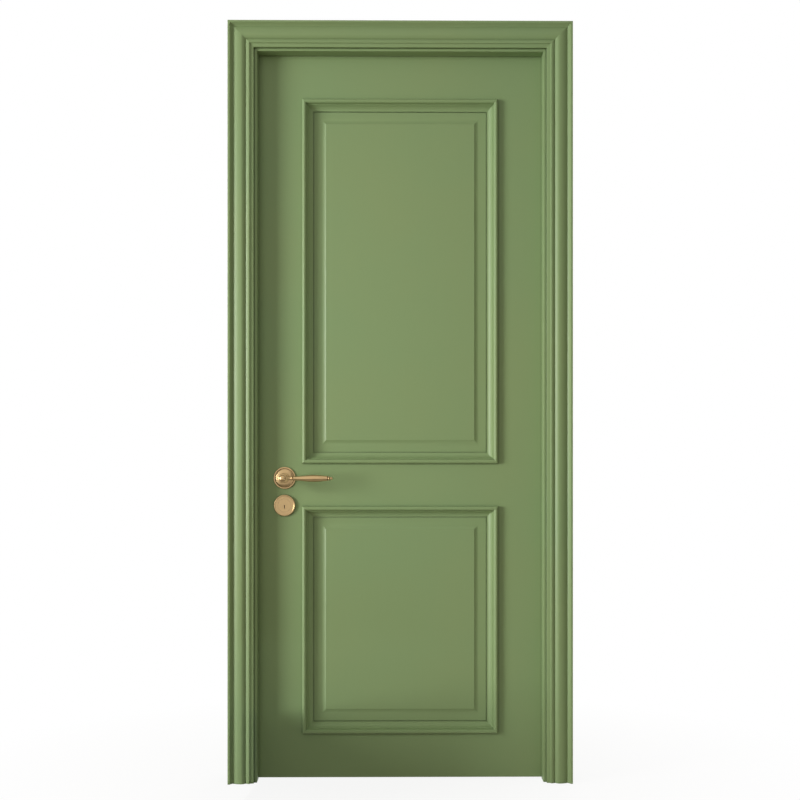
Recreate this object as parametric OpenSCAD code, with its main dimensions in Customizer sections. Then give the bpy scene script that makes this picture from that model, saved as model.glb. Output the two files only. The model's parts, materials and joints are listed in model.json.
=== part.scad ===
// A painted two-panel bedroom door hung in its frame. The leaf is framed from stiles and rails
// round raised and fielded panels with bolection mouldings. It hangs on three butt hinges in a
// rebated frame with moulded casings on both faces, and shuts with a mortise lock worked by
// turned levers, a key and a thumbturn.
// The front is -Y, the hinges are at +X and the leaf opens towards +Y. The origin is at the
// floor, in the middle of the opening and of the leaf's thickness. All sizes are in mm.

/* [Leaf] */
// Width of the leaf
leaf_w = 800; // [700:10:900]
// Height of the leaf
leaf_h = 2005; // [1900:5:2200]
// Thickness of the leaf
leaf_t = 40; // [38:1:48]
// Stile face that shows beside the mouldings
stile_face = 129; // [124:1:150]
// Top rail face that shows above the upper moulding
top_rail_face = 128; // [100:1:160]
// Lock rail face that shows between the mouldings
lock_rail_face = 118; // [100:1:160]
// Bottom rail face that shows below the lower moulding
bottom_rail_face = 122; // [100:1:200]
// Height of the lower moulding frame over its outer edges
lower_frame_h = 629; // [550:1:680]
// Length of the tenons on the rails
tenon_l = 24; // [18:1:26]
// Distance of a tenon from the edges of its rail
tenon_shoulder = 24; // [20:1:34]

/* [Panels] */
// Depth of a panel's margin below the face of the leaf
margin_depth = 12.5; // [10:0.5:13.5]
// Rise of the field above the margin
field_rise = 4; // [2:0.5:6]
// Flat margin between the moulding and the bevel
margin_w = 20; // [12:1:30]
// Hollow bevel between the margin and the field
bevel_w = 15; // [10:1:20]
// Depth of the grooves that hold the panels
groove_d = 10; // [8:1:12]
// Room for a panel to swell in its grooves
panel_play = 0.5; // [0.3:0.1:1]

/* [Panel mouldings] */
// Width of the moulding
moulding_w = 30; // [26:1:36]
// Lap of the moulding over stiles and rails
lap_w = 9; // [7:1:11]
// Width of the bead along the outer edge
bead_w = 12; // [9:0.5:13]
// Rise of the bead above the face of the leaf
bead_rise = 13; // [10:0.5:15]
// Flat of the quirk beside the bead
quirk_w = 1.6; // [0.8:0.2:2.4]
// Drop of the quirk below the middle of the bead
quirk_drop = 4; // [2:0.5:5]
// Flat at the foot of the hollow
foot_w = 1.6; // [1:0.2:3]
// Height of the foot above the panel
foot_h = 3; // [2:0.5:5]

/* [Frame] */
// Thickness of the jambs
jamb_t = 34; // [32:1:50]
// Depth of the rebate that takes the leaf
stop_d = 11; // [9:0.5:13]
// Depth of the reveal in front of the leaf
reveal_d = 40; // [30:1:80]
// Rounding of the arrises
arris_r = 1.5; // [0.5:0.5:3]
// Diameter of the fixing holes in the jambs
fixing_d = 8; // [6:0.5:10]
// Height of the lowest fixing
fixing_low = 110; // [80:5:130]
// Distance from the lowest fixing to the next
fixing_low_pitch = 390; // [350:10:420]
// Distance of the highest fixing below the clear head
fixing_high = 108; // [90:2:120]
// Distance from the highest fixing to the next below
fixing_high_pitch = 490; // [450:10:520]

/* [Seals] */
// Width of the groove for the seal
seal_groove_w = 2.8; // [2:0.2:4]
// Depth of the groove for the seal
seal_groove_d = 5.5; // [4:0.5:8]
// Width of the seal's soft lip
seal_lip_w = 7; // [5:0.5:8]

/* [Casings] */
// Width of the casing
casing_w = 70; // [64:1:90]
// Thickness of the outer fillet
casing_t = 18; // [16.5:0.5:24]
// Jamb edge left showing in front
front_setback = 8; // [4:1:12]
// Jamb edge left showing behind
rear_setback = 9; // [7:0.5:10]
// Width of the outer fillet
fillet_w = 2; // [1.5:0.5:5]
// Width of the hollow inside the fillet
hollow_w = 13; // [9:0.5:14]
// Width of the inner slope of the broad round
crest_w = 12; // [9:0.5:16]
// Width of the small bead
casing_bead_w = 17; // [13:0.5:18]
// Width of the inner band
band_w = 5; // [4:0.5:7]
// Thickness at the valleys
valley_t = 9; // [7:0.5:10]
// Thickness at the crest of the broad round
crest_t = 15.5; // [13:0.5:16]
// Thickness at the small bead
casing_bead_t = 12.8; // [12:0.2:14]
// Thickness of the inner edge
band_t = 8; // [7:0.5:9]
// Rise of the inner band towards the bead
band_rise = 1.4; // [0.8:0.2:2]
// Depth of the relief in the back
relief_d = 1.5; // [1:0.5:3]
// Flat beside the relief
relief_edge = 12; // [8:1:13]

/* [Hinges] */
// Height of a hinge
hinge_h = 100; // [90:5:120]
// How far a hinge plate is let in from the rear face
hinge_setin = 30; // [26:1:33]
// Thickness of a hinge plate
hinge_t = 3; // [2.5:0.5:4]
// Radius of the knuckles
knuckle_r = 6; // [5.5:0.5:7]
// Radius of the pin
pin_r = 3; // [2.5:0.5:3.5]
// Gap between the knuckles and the leaf
knuckle_gap = 0.5; // [0.4:0.1:1]
// Gap between one knuckle and the next
knuckle_step = 0.4; // [0.3:0.1:0.6]
// Upper hinge, from its middle to the top of the leaf
hinge_from_top = 180; // [150:5:220]
// Lower hinge, from its middle to the bottom of the leaf
hinge_from_bottom = 230; // [200:5:280]
// Length of the hinge screws
hinge_screw_l = 18; // [14:1:19]

/* [Lock] */
// Distance from the edge of the leaf to the spindle
backset = 80; // [74:1:82]
// Height of the levers above the floor
lever_z = 832; // [800:1:1050]
// Distance from the spindle down to the cylinder
lock_centres = 76; // [72:1:92]
// Thickness of the lock case
case_t = 16; // [15:0.5:18]
// Wall of the lock case
case_wall = 1.5; // [1:0.25:2]
// Lock case behind the spindle
case_behind = 24; // [23:0.5:26]
// Width of the forend
forend_w = 22; // [20:1:26]
// Thickness of the forend
forend_t = 3; // [2:0.5:4]
// Forend past the lock case at either end
forend_tab = 30; // [24:1:36]
// Thickness of the latch and the bolt
bolt_t = 11; // [9:0.5:11.5]
// Height of the latch
latch_h = 16; // [14:1:20]
// Throw of the latch
latch_throw = 12; // [10:0.5:12.5]
// Height of the latch above the spindle
latch_up = 25; // [24:0.5:28]
// Height of the deadbolt
deadbolt_h = 20; // [16:1:22]
// Height of the deadbolt above the cam
deadbolt_up = 26; // [25:0.5:30]
// Length of the latch and the bolt inside the case
bolt_body = 24; // [20:1:25]
// Length of the follower's arm from the spindle
arm_l = 20; // [19:0.5:20.5]
// Reach of the cam to the middle of its nose
cam_r = 10.5; // [9.5:0.5:11]
// Thickness of the cam
cam_t = 5; // [4:0.5:5.5]

/* [Strike] */
// Thickness of the strike plate
strike_t = 2; // [1.5:0.5:3]
// Strike plate past the holes at either end
strike_tab = 28; // [24:1:34]
// Depth of the box behind the strike plate
strike_box_d = 17; // [15.5:0.5:18]

/* [Levers] */
// Length from the spindle to the tip
lever_l = 136; // [110:1:150]
// Distance of the lever from the face of the leaf
lever_out = 60; // [54:1:66]
// Radius of the hub
hub_r = 12.5; // [11:0.5:14]
// Half of the hub's depth
hub_half = 6; // [5.5:0.5:7.5]
// Radius of the cap on the hub
cap_r = 8.5; // [7:0.5:10]
// Height of the cap
cap_h = 4; // [3:0.5:6]
// Radius of the neck
neck_r = 8; // [7.5:0.25:9]
// Largest radius of the grip
grip_r = 9.25; // [8:0.25:10]
// Radius of the grip at its root
grip_root_r = 4.4; // [4.2:0.1:5.5]
// Radius of the grip at its end
grip_end_r = 6.9; // [5.8:0.1:7.4]
// Radius of the ring beyond the grip
end_ring_r = 6.8; // [6:0.1:7.4]
// Radius of the ball at the tip
tip_r = 4.4; // [4:0.2:5.6]
// Side of the square spindle
spindle_s = 8; // [7:0.5:8.5]
// Reach of the spindle into a lever, from the face of the leaf
spindle_reach = 26; // [20:1:30]

/* [Roses] */
// Diameter of the lever roses
rose_d = 61; // [56:1:66]
// Radius of the plates under the lever roses
rose_plate_r = 23; // [21.5:0.5:24]
// Thickness of the plates under the lever roses
rose_plate_t = 3; // [2.5:0.5:3.5]
// Distance of a rose bolt from the spindle
rose_bolt_x = 17; // [16.5:0.25:18]
// Diameter of the cylinder collar and the turn's rose
collar_d = 59; // [54:1:64]
// Height of the rim of the collar
collar_h = 7; // [6:0.5:9]
// Width of the rim of the collar
collar_rim = 4.5; // [3:0.5:6]
// Depth of the collar's face below its rim
collar_dip = 0.8; // [0.4:0.2:1.5]

/* [Cylinder] */
// Radius of the cylinder's face
cylinder_face_r = 18; // [17:0.5:20]
// Radius of the cylinder's body
cylinder_r = 15; // [13:0.5:16]
// Thickness of the cylinder's face
cylinder_face_t = 3.5; // [3:0.25:4.5]
// Radius of the key plug
plug_r = 7; // [6:0.5:8]
// Drop of the plug below the middle of the cylinder
plug_drop = 3.6; // [2:0.2:5]
// Radius of the thumbturn's stem
turn_stem_r = 5; // [4.5:0.25:5.5]
// Radius of the thumbturn's wing
turn_wing_r = 12; // [10:0.5:15]
// Thickness of the thumbturn's wing
turn_wing_t = 7; // [6:0.5:8]

/* [Clearances] */
// Gap between the leaf and the jambs
edge_gap = 3; // [2:0.5:4]
// Gap between the leaf and the floor
floor_gap = 3; // [2:0.5:8]
// Gap between the leaf and the stop
stop_gap = 2; // [1.5:0.5:4]
// Room between the seal and the leaf
seal_gap = 0.3; // [0.2:0.1:0.5]
// Room round a piece that is let into another
inlet_gap = 0.1; // [0.05:0.05:0.3]
// Room between pieces that slide
slide_gap = 0.35; // [0.3:0.05:0.5]
// Room round pieces that turn
turn_gap = 0.06; // [0.02:0.02:0.1]
// Room round the lock parts in their mortise
mortise_gap = 0.5; // [0.3:0.1:1]

/* [Hidden] */
$fn = 64;
past = 1;
reach = 4000;

// Planes of the leaf and the frame
y_face = -leaf_t / 2;
y_back = leaf_t / 2;
y_front = y_face - reveal_d;
y_stop = y_face - stop_gap;
half_leaf = leaf_w / 2;
rebate_half = half_leaf + edge_gap;
clear_half = rebate_half - stop_d;
outer_half = clear_half + jamb_t;
z_foot = floor_gap;
z_top = z_foot + leaf_h;
clear_h = z_top + edge_gap - stop_d;
fixings = [fixing_low, fixing_low + fixing_low_pitch,
    clear_h - fixing_high - fixing_high_pitch, clear_h - fixing_high];

// Stiles, rails and panels
stile_w = stile_face + lap_w;
bay_half = half_leaf - stile_w;
frame_half = bay_half + lap_w;
low_z0 = z_foot + bottom_rail_face;
low_z1 = low_z0 + lower_frame_h;
up_z0 = low_z1 + lock_rail_face;
up_z1 = z_top - top_rail_face;
tongue_t = leaf_t - 2 * margin_depth;
groove_t = tongue_t + 2 * inlet_gap;
cove_r = (bevel_w * bevel_w + field_rise * field_rise) / (2 * field_rise);
field_inset = moulding_w - lap_w + margin_w + bevel_w;

// Seal
seal_u = stop_d / 2;

// Hinges
pin_x = half_leaf + edge_gap / 2;
pin_y = y_back + knuckle_r + knuckle_gap;
upper_hinge_z = z_top - hinge_from_top;
lower_hinge_z = z_foot + hinge_from_bottom;
middle_hinge_z = (upper_hinge_z + lower_hinge_z) / 2;
hinge_zs = [upper_hinge_z, middle_hinge_z, lower_hinge_z];
knuckle_l = hinge_h / 5;
hinge_corner_r = 6;
hinge_row = hinge_setin * 0.3;
hinge_screw_at = [for (k = [0:3]) [(k == 0 || k == 3 ? -1 : -2.3) * hinge_row, (k - 1.5) * hinge_h / 4]];
screw_head_r = 3.6;
screw_head_h = 2.2;
screw_r = 1.9;

// Lock
lever_x = -half_leaf + backset;
cyl_z = lever_z - lock_centres;
turn_z = cyl_z - plug_drop;
latch_z = lever_z + latch_up;
bolt_z = turn_z + deadbolt_up;
edge_x = -half_leaf;
case_x = edge_x + forend_t;
case_end = lever_x + case_behind;
case_in = case_t / 2 - case_wall;
case_z1 = latch_z + latch_h / 2 + 12;
case_z0 = turn_z - 22;
forend_z0 = case_z0 - forend_tab;
forend_z1 = case_z1 + forend_tab;
bolt_end = case_x + bolt_body;
tail_h = 6.4;
tail_t = 6;
arm_w = 6;
hub_turn_r = 10.2;
bush_r = 9;
lug_w = 5;
lug_x = lever_x + arm_w / 2 + 0.9;
lug_z = lever_z + hub_turn_r + 1.2;
guide_x = lever_x - 22;
guide_t = 2;
cam_y = -cam_t / 2 + 1;
cam_nose_r = 2.5;
cam_stem_w = 3;
cam_hub_r = 6;
cam_lug_z = turn_z + cam_r * cos(45) - 0.4;
cam_lug_half = 8;
cam_slot_half = cam_nose_r + 0.6;
cam_throw = 2 * cam_r * sin(45);
tang_s = 5;
cyl_end = cam_y - mortise_gap;

turn_screw_x = (collar_d / 2 - collar_rim + turn_stem_r) / 2;
turn_screw_l = collar_h + leaf_t / 2 - case_t / 2 - 2;
rim_round = 2;

// Strike
strike_x = -rebate_half;
strike_z0 = bolt_z - deadbolt_h / 2 - strike_tab;
strike_z1 = latch_z + latch_h / 2 + strike_tab;
strike_y0 = -bolt_t / 2 - 8;
strike_room = 0.6;
box_wall = 1.5;
box_side = 3;

// Levers
bead_x = hub_r + 12;
grip_x = bead_x + 4.6;
swell_x = lever_l - 46;
grip_end_x = lever_l - 14.6;
stem_r = 3.2;
arm_root_r = hub_half - 0.5;

paint = [0.50, 0.58, 0.41];
brass = [0.78, 0.64, 0.42];
steel = [0.70, 0.71, 0.72];
rubber = [0.22, 0.24, 0.22];
timber = [0.80, 0.66, 0.45];

// Points along part of an ellipse
function arc(c, rx, ry, a0, a1, n = 8) =
    [for (i = [0:n]) let (a = a0 + (a1 - a0) * i / n) [c[0] + rx * cos(a), c[1] + ry * sin(a)]];

// Points along a curve that is level at p and steepest at q, which it ends on
function fall(p, q, n = 8, k = 2) =
    [for (i = [1:n]) let (t = i / n) [p[0] + (q[0] - p[0]) * t, p[1] + (q[1] - p[1]) * pow(t, k)]];

// The same curve the other way, between q and p without either end
function climb(q, p, n = 8, k = 2) = [for (i = [n - 2:-1:0]) fall(p, q, n, k)[i]];

// Points along an S between two levels, both ends flat
function ogee(p, q, n = 14) =
    [for (i = [0:n]) let (t = i / n) [p[0] + (q[0] - p[0]) * t, p[1] + (q[1] - p[1]) * (1 - cos(180 * t)) / 2]];

// The same with radius first, for turned work
function swell(p, q, n = 14) = [for (s = ogee([p[1], p[0]], [q[1], q[0]], n)) [s[1], s[0]]];

// A block between two corners
module block(a, b) {
    translate(a) cube(b - a);
}

// An outline in X and Z, thick in Y
module slab_y(y0, y1) {
    translate([0, y1, 0]) rotate([90, 0, 0]) linear_extrude(y1 - y0) children();
}

// An outline in Y and Z, thick in X
module slab_x(x0, x1) {
    translate([x0, 0, 0]) rotate([90, 0, 90]) linear_extrude(x1 - x0) children();
}

// Round bar along Y
module rod_y(x, z, r, y0, y1) {
    slab_y(y0, y1) translate([x, z]) circle(r);
}

// Turned work on the front face, its axis along Y, heights counted outwards
module turned(x, z) {
    translate([x, y_face, z]) rotate([90, 0, 0]) rotate_extrude() children();
}

// The rear face is the front face mirrored through the leaf
module rear() {
    mirror([0, 1, 0]) children();
}

// Countersunk screw, its head at the origin and its point towards +Z
module screw(l, gap = 0, slot = true) {
    difference() {
        union() {
            cylinder(h = screw_head_h + gap, r1 = screw_head_r + gap, r2 = screw_r + gap);
            cylinder(h = l - 2 * screw_r + gap, r = screw_r + gap);
            translate([0, 0, l - 2 * screw_r + gap])
                cylinder(h = 2 * screw_r, r1 = screw_r + gap, r2 = 0.3 + gap);
        }
        if (slot) for (a = [0, 90])
            rotate([0, 0, a]) translate([-0.4, -2.2, -past]) cube([0.8, 4.4, 2.2]);
    }
}

// One upright run of a section that goes round the opening, mitred at the top
module upright(inner, top, w) {
    intersection() {
        translate([inner, 0, 0]) linear_extrude(top + w) children();
        slab_y(-reach, reach) polygon([[inner, 0], [inner + w, 0], [inner + w, top + w], [inner, top]]);
    }
}

// The run over the opening, mitred at both ends
module header(inner, top, w) {
    intersection() {
        translate([0, 0, top]) rotate([0, -90, 0])
            linear_extrude(2 * (inner + w), center = true) children();
        slab_y(-reach, reach)
            polygon([[-inner, top], [inner, top], [inner + w, top + w], [-inner - w, top + w]]);
    }
}

// Section of a jamb, outwards from the clear opening
module jamb_section() {
    difference() {
        polygon(concat(
            arc([arris_r, y_front + arris_r], arris_r, arris_r, 180, 270, 4),
            [[jamb_t, y_front], [jamb_t, y_back]],
            arc([stop_d + arris_r, y_back - arris_r], arris_r, arris_r, 90, 180, 4),
            [[stop_d, y_stop], [0, y_stop]]));
        translate([seal_u - seal_groove_w / 2, y_stop - seal_groove_d])
            square([seal_groove_w, seal_groove_d + past]);
    }
}

// Section of a seal: a stem in the groove and a soft lip
module seal_section() {
    stem = seal_groove_w - 2 * inlet_gap;
    translate([seal_u - stem / 2, y_stop - seal_groove_d + inlet_gap]) square([stem, seal_groove_d]);
    polygon(arc([seal_u, y_stop], seal_lip_w / 2, stop_gap - seal_gap, 0, 180, 10));
}

// Section of a casing, outwards from its inner edge and up from the wall
module casing_section() {
    band = [band_w, band_t + band_rise];
    bead = [band_w + casing_bead_w * 0.4, casing_bead_t];
    valley = [band_w + casing_bead_w, valley_t];
    crest = [valley[0] + crest_w, crest_t];
    hollow = [casing_w - fillet_w - hollow_w, valley_t];
    edge_r = 1.2;
    difference() {
        polygon(concat(
            [[0, 0]],
            arc([edge_r, band_t - edge_r], edge_r, edge_r, 180, 90, 3),
            [band],
            climb(band, bead),
            [bead],
            fall(bead, valley),
            climb(valley, crest),
            [crest],
            fall(crest, hollow, 12),
            fall(hollow, [casing_w - fillet_w, casing_t], 8, 1.35),
            arc([casing_w - edge_r, casing_t - edge_r], edge_r, edge_r, 90, 0, 3),
            [[casing_w, 0]]));
        translate([relief_edge, -past]) square([casing_w - 2 * relief_edge, relief_d + past]);
    }
}

module front_section() {
    translate([0, y_front]) mirror([0, 1]) casing_section();
}

module rear_section() {
    translate([0, y_back]) casing_section();
}

module fixing_holes() {
    for (z = fixings) translate([clear_half, 0, z]) rotate([0, 90, 0]) cylinder(h = jamb_t + past, d = fixing_d);
}

module lock_jamb() {
    color(paint) difference() {
        mirror([1, 0, 0]) difference() {
            upright(clear_half, clear_h, jamb_t) jamb_section();
            fixing_holes();
        }
        slab_x(strike_x - strike_t, strike_x + past) strike_outline(inlet_gap);
        slab_x(strike_x - strike_t - strike_box_d - inlet_gap, strike_x) strike_box_outline(inlet_gap);
        place_strike_screws() screw(hinge_screw_l, inlet_gap, false);
    }
}

module hinge_jamb() {
    color(paint) difference() {
        upright(clear_half, clear_h, jamb_t) jamb_section();
        fixing_holes();
        for (z = hinge_zs) slab_x(rebate_half - past, rebate_half + hinge_t) hinge_outline(z, inlet_gap);
        place_frame_screws() screw(hinge_screw_l, inlet_gap, false);
    }
}

module head_jamb() {
    color(paint) header(clear_half, clear_h, jamb_t) jamb_section();
}

module front_casing_right() {
    color(paint) upright(clear_half + front_setback, clear_h + front_setback, casing_w) front_section();
}

module front_casing_left() {
    mirror([1, 0, 0]) front_casing_right();
}

module front_casing_head() {
    color(paint) header(clear_half + front_setback, clear_h + front_setback, casing_w) front_section();
}

module rear_casing_right() {
    color(paint) upright(rebate_half + rear_setback, clear_h + stop_d + rear_setback, casing_w) rear_section();
}

module rear_casing_left() {
    mirror([1, 0, 0]) rear_casing_right();
}

module rear_casing_head() {
    color(paint) header(rebate_half + rear_setback, clear_h + stop_d + rear_setback, casing_w) rear_section();
}

module seal_right() {
    color(rubber) upright(clear_half, clear_h, jamb_t) seal_section();
}

module seal_left() {
    mirror([1, 0, 0]) seal_right();
}

module seal_head() {
    color(rubber) header(clear_half, clear_h, jamb_t) seal_section();
}

// Strike: the plate is let into the rebate and reaches the rear edge of the jamb
module strike_outline(gap) {
    translate([strike_y0 - gap, strike_z0 - gap])
        square([y_back - strike_y0 + gap + (gap > 0 ? past : 0), strike_z1 - strike_z0 + 2 * gap]);
}

module bolt_holes(gap) {
    translate([-bolt_t / 2 - gap, latch_z - latch_h / 2 - gap]) square([bolt_t + 2 * gap, latch_h + 2 * gap]);
    translate([-bolt_t / 2 - gap, bolt_z - deadbolt_h / 2 - gap]) square([bolt_t + 2 * gap, deadbolt_h + 2 * gap]);
}

module strike_box_outline(gap) {
    side = box_side + gap;
    translate([-bolt_t / 2 - side, bolt_z - deadbolt_h / 2 - side])
        square([bolt_t + 2 * side, latch_z + latch_h / 2 - bolt_z + deadbolt_h / 2 + 2 * side]);
}

module place_strike_screws() {
    for (z = [strike_z0 + strike_tab / 2, strike_z1 - strike_tab / 2])
        translate([strike_x, 0, z]) rotate([0, -90, 0]) children();
}

module strike_plate() {
    color(brass) difference() {
        slab_x(strike_x - strike_t, strike_x) strike_outline(0);
        slab_x(strike_x - strike_t - past, strike_x + past) bolt_holes(strike_room);
        place_strike_screws() screw(hinge_screw_l, inlet_gap, false);
    }
}

module strike_box() {
    color(rubber) difference() {
        slab_x(strike_x - strike_t - strike_box_d, strike_x - strike_t) strike_box_outline(0);
        slab_x(strike_x - strike_t - strike_box_d + box_wall, strike_x) strike_box_outline(-box_wall);
    }
}

module strike_screws() {
    color(brass) place_strike_screws() screw(hinge_screw_l);
}

// Hinges: plates let into the rebate and the edge of the leaf, five knuckles on one pin
module hinge_outline(z, gap) {
    y0 = y_back - hinge_setin - gap;
    y1 = y_back + (gap > 0 ? past : 0);
    h = hinge_h + 2 * gap;
    translate([y0 + hinge_corner_r, z - h / 2]) square([y1 - y0 - hinge_corner_r, h]);
    translate([y0, z - h / 2 + hinge_corner_r]) square([hinge_corner_r + past, h - 2 * hinge_corner_r]);
    for (s = [-1, 1])
        translate([y0 + hinge_corner_r, z + s * (h / 2 - hinge_corner_r)]) circle(hinge_corner_r);
}

module knuckles(z, first, plate_x) {
    for (k = [first:2:4]) {
        z0 = z - hinge_h / 2 + k * knuckle_l + (k > 0 ? knuckle_step / 2 : 0);
        z1 = z - hinge_h / 2 + (k + 1) * knuckle_l - (k < 4 ? knuckle_step / 2 : 0);
        translate([pin_x, pin_y, z0]) cylinder(h = z1 - z0, r = knuckle_r);
        block([plate_x, y_back - past, z0], [plate_x + hinge_t, pin_y, z1]);
    }
}

module hinge_frame_leaf(z) {
    color(brass) difference() {
        union() {
            slab_x(rebate_half, rebate_half + hinge_t) hinge_outline(z, 0);
            knuckles(z, 0, rebate_half);
        }
        translate([pin_x, pin_y, z - hinge_h]) cylinder(h = 2 * hinge_h, r = pin_r + turn_gap);
        place_frame_screws() screw(hinge_screw_l, inlet_gap, false);
    }
}

module hinge_door_leaf(z) {
    color(brass) difference() {
        union() {
            slab_x(half_leaf - hinge_t, half_leaf) hinge_outline(z, 0);
            knuckles(z, 1, half_leaf - hinge_t);
        }
        translate([pin_x, pin_y, z - hinge_h]) cylinder(h = 2 * hinge_h, r = pin_r + turn_gap);
        place_door_screws() screw(hinge_screw_l, inlet_gap, false);
    }
}

module hinge_pin(z) {
    tip = knuckle_r - 0.8;
    half = hinge_h / 2;
    color(brass) translate([pin_x, pin_y, z]) rotate_extrude() polygon(concat(
        arc([0, -half - 2], tip, 4, 270, 360, 6),
        [[tip, -half], [pin_r, -half], [pin_r, half], [tip, half]],
        arc([0, half + 2], tip, 4, 0, 90, 6)));
}

module place_frame_screws() {
    for (z = hinge_zs) for (p = hinge_screw_at)
        translate([rebate_half, y_back + p[0], z + p[1]]) rotate([0, 90, 0]) children();
}

module place_door_screws() {
    for (z = hinge_zs) for (p = hinge_screw_at)
        translate([half_leaf, y_back + p[0], z + p[1]]) rotate([0, -90, 0]) children();
}

module upper_hinge_frame_leaf() {
    hinge_frame_leaf(upper_hinge_z);
}

module middle_hinge_frame_leaf() {
    hinge_frame_leaf(middle_hinge_z);
}

module lower_hinge_frame_leaf() {
    hinge_frame_leaf(lower_hinge_z);
}

module upper_hinge_pin() {
    hinge_pin(upper_hinge_z);
}

module middle_hinge_pin() {
    hinge_pin(middle_hinge_z);
}

module lower_hinge_pin() {
    hinge_pin(lower_hinge_z);
}

module frame_hinge_screws() {
    color(brass) place_frame_screws() screw(hinge_screw_l);
}

module upper_hinge_door_leaf() {
    hinge_door_leaf(upper_hinge_z);
}

module middle_hinge_door_leaf() {
    hinge_door_leaf(middle_hinge_z);
}

module lower_hinge_door_leaf() {
    hinge_door_leaf(lower_hinge_z);
}

module door_hinge_screws() {
    color(brass) place_door_screws() screw(hinge_screw_l);
}

// Stile on the +X side, grooved along its inner edge and mortised for the rails
module stile_blank() {
    difference() {
        block([bay_half, y_face, z_foot], [half_leaf, y_back, z_top]);
        block([bay_half - past, -groove_t / 2, z_foot - past], [bay_half + groove_d, groove_t / 2, z_top + past]);
        for (r = [[z_foot, low_z0 + lap_w], [low_z1 - lap_w, up_z0 + lap_w], [up_z1 - lap_w, z_top]])
            block([bay_half - past, -groove_t / 2, r[0] + tenon_shoulder - inlet_gap],
                [bay_half + tenon_l + inlet_gap, groove_t / 2, r[1] - tenon_shoulder + inlet_gap]);
    }
}

module lock_stile() {
    color(paint) difference() {
        mirror([1, 0, 0]) stile_blank();
        slab_x(edge_x - past, case_x) forend_outline(inlet_gap);
        block([case_x - past, -case_t / 2 - mortise_gap, case_z0 - mortise_gap],
            [case_end + mortise_gap, case_t / 2 + mortise_gap, case_z1 + mortise_gap]);
        place_forend_screws() screw(hinge_screw_l, inlet_gap, false);
        rod_y(lever_x, lever_z, bush_r + mortise_gap, y_face - past, y_back + past);
        rod_y(lever_x, cyl_z, cylinder_r + mortise_gap, y_face - past, 0);
        rod_y(lever_x, turn_z, turn_stem_r + mortise_gap, 0, y_back + past);
        place_rose_bolts() cylinder(h = 2 * leaf_t, r = 2 + mortise_gap, center = true);
        place_turn_screws() screw(turn_screw_l, inlet_gap, false);
    }
}

module hinge_stile() {
    color(paint) difference() {
        stile_blank();
        for (z = hinge_zs) slab_x(half_leaf - hinge_t, half_leaf + past) hinge_outline(z, inlet_gap);
        place_door_screws() screw(hinge_screw_l, inlet_gap, false);
    }
}

// Rail between two levels, with a panel groove in its lower and its upper edge where asked
module rail(z0, z1, groove_below, groove_above) {
    tongue = bay_half + groove_d - panel_play;
    color(paint) difference() {
        union() {
            block([-bay_half, y_face, z0], [bay_half, y_back, z1]);
            block([-tongue, -tongue_t / 2, z0], [tongue, tongue_t / 2, z1]);
            block([-bay_half - tenon_l, -tongue_t / 2, z0 + tenon_shoulder],
                [bay_half + tenon_l, tongue_t / 2, z1 - tenon_shoulder]);
        }
        if (groove_below) block([-half_leaf, -groove_t / 2, z0 - past], [half_leaf, groove_t / 2, z0 + groove_d]);
        if (groove_above) block([-half_leaf, -groove_t / 2, z1 - groove_d], [half_leaf, groove_t / 2, z1 + past]);
    }
}

module top_rail() {
    rail(up_z1 - lap_w, z_top, true, false);
}

module lock_rail() {
    rail(low_z1 - lap_w, up_z0 + lap_w, true, true);
}

module bottom_rail() {
    rail(z_foot, low_z0 + lap_w, false, true);
}

// Outline of a panel across its width: edge, margin, hollow bevel and field, on both faces
module panel_outline(half) {
    edge = half + groove_d - panel_play;
    field = half - field_inset;
    rim_y = tongue_t / 2;
    bevel_a = asin(bevel_w / cove_r);
    side = concat([[edge, rim_y]], arc([field + bevel_w, rim_y + cove_r], cove_r, cove_r, 270, 270 - bevel_a, 8));
    upper = concat(side, [for (i = [len(side) - 1:-1:0]) [-side[i][0], side[i][1]]]);
    polygon(concat(upper, [for (i = [len(upper) - 1:-1:0]) [upper[i][0], -upper[i][1]]]));
}

module panel(z0, z1) {
    mid = (z0 + z1) / 2;
    edge = groove_d - panel_play;
    color(paint) intersection() {
        translate([0, 0, z0 - edge]) linear_extrude(z1 - z0 + 2 * edge) panel_outline(bay_half);
        translate([0, 0, mid]) rotate([0, -90, 0])
            linear_extrude(2 * (bay_half + edge), center = true) panel_outline((z1 - z0) / 2);
    }
}

module upper_panel() {
    panel(up_z0 + lap_w, up_z1 - lap_w);
}

module lower_panel() {
    panel(low_z0 + lap_w, low_z1 - lap_w);
}

// Section of a bolection moulding, inwards from its outer edge and up from the face of the leaf
module moulding_section() {
    bead_r = bead_w / 2;
    quirk = [bead_w + quirk_w, bead_rise - bead_r - quirk_drop];
    foot = [moulding_w - foot_w, foot_h - margin_depth];
    polygon(concat(
        [[0, 0]],
        arc([bead_r, bead_rise - bead_r], bead_r, bead_r, 180, 0, 12),
        [quirk],
        climb(quirk, foot, 12, 1.7),
        [foot, [moulding_w, foot[1]], [moulding_w, -margin_depth], [lap_w, -margin_depth], [lap_w, 0]]));
}

// One length of moulding under the middle of its frame, mitred at both ends with room for the glue
module moulding_length(l, down) {
    end = l / 2 - inlet_gap / 2;
    intersection() {
        translate([0, y_face, -down]) rotate([0, -90, 0])
            linear_extrude(l, center = true) mirror([0, 1]) moulding_section();
        slab_y(-reach, reach) polygon([[-end, -down], [end, -down],
            [end - moulding_w, moulding_w - down], [moulding_w - end, moulding_w - down]]);
    }
}

module moulding_frame(z0, z1) {
    h = z1 - z0;
    color(paint) translate([0, 0, (z0 + z1) / 2]) {
        for (a = [0, 180]) rotate([0, a, 0]) moulding_length(2 * frame_half, h / 2);
        for (a = [90, -90]) rotate([0, a, 0]) moulding_length(h, frame_half);
    }
}

module upper_front_moulding() {
    moulding_frame(up_z0, up_z1);
}

module lower_front_moulding() {
    moulding_frame(low_z0, low_z1);
}

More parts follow.
